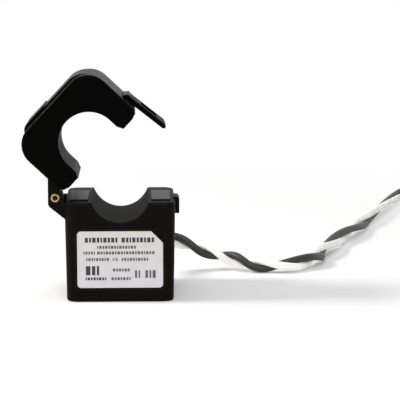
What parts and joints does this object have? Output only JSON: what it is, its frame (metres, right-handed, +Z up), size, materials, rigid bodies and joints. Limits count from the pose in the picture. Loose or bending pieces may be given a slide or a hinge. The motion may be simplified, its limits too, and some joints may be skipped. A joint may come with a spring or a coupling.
{
  "type": "split core current transformer",
  "caption": "Small black split core current transformer standing open: hinged upper core half, sprung latch tongue, round conductor window and a twisted black and white lead.",
  "frame": {"origin": "middle of the flat foot that the body stands on", "axes": "+X to the right with the latch, +Y from the labelled front to the back and along the conductor, +Z up"},
  "size_m": [0.197, 0.2106, 0.0617],
  "materials": {
    "case_plastic": "satin moulded black",
    "cover_plastic": "fine grained black",
    "core_steel": "lapped grey",
    "bobbin_plastic": "natural nylon",
    "copper_winding": "enamelled copper wire",
    "winding_tape": "amber tape",
    "tinned_metal": "bright tin",
    "board_laminate": "green board",
    "resistor_body": "lacquered",
    "diode_body": "moulded black",
    "lead_black": "soft black insulation",
    "lead_white": "soft white insulation",
    "lead_pair": "black and white twisted insulation",
    "tie_nylon": "natural nylon",
    "grommet_rubber": "matt black",
    "label_paper": "satin white sticker",
    "rivet_brass": "rolled bright brass"
  },
  "bodies": {
    "case": {"lower_case": "case_plastic", "base_cover": "cover_plastic", "lower_core": "core_steel", "bobbin": "bobbin_plastic", "secondary_winding": "copper_winding", "winding_tape": "winding_tape", "bobbin_pins": "tinned_metal", "burden_board": "board_laminate", "burden_resistor": "resistor_body", "clamp_diode": "diode_body", "solder_joints": "tinned_metal", "inner_lead_black": "lead_black", "inner_lead_white": "lead_white", "strain_tie": "tie_nylon", "lead_grommet": "grommet_rubber", "lead_pair": "lead_pair", "lead_coil": "lead_pair", "coil_tie": "tie_nylon", "front_label": "label_paper", "hinge_rivet": "rivet_brass"},
    "lid": {"upper_case": "case_plastic", "upper_core": "core_steel", "core_cushion": "grommet_rubber"},
    "latch": {"latch_tongue": "case_plastic"}
  },
  "joints": [
    {"name": "lid_hinge", "type": "hinge", "parent": "case", "child": "lid", "pos_m": [-0.01745, -0.0034, 0.02835], "axis": [0, 1, 0], "range_deg": [0, 47]},
    {"name": "latch_flex", "type": "hinge", "parent": "lid", "child": "latch", "pos_m": [0.0029, -0.0034, 0.05442], "axis": [0, 1, 0], "range_deg": [-3, 2], "stiffness_Nm_per_rad": 0.02}
  ]
}
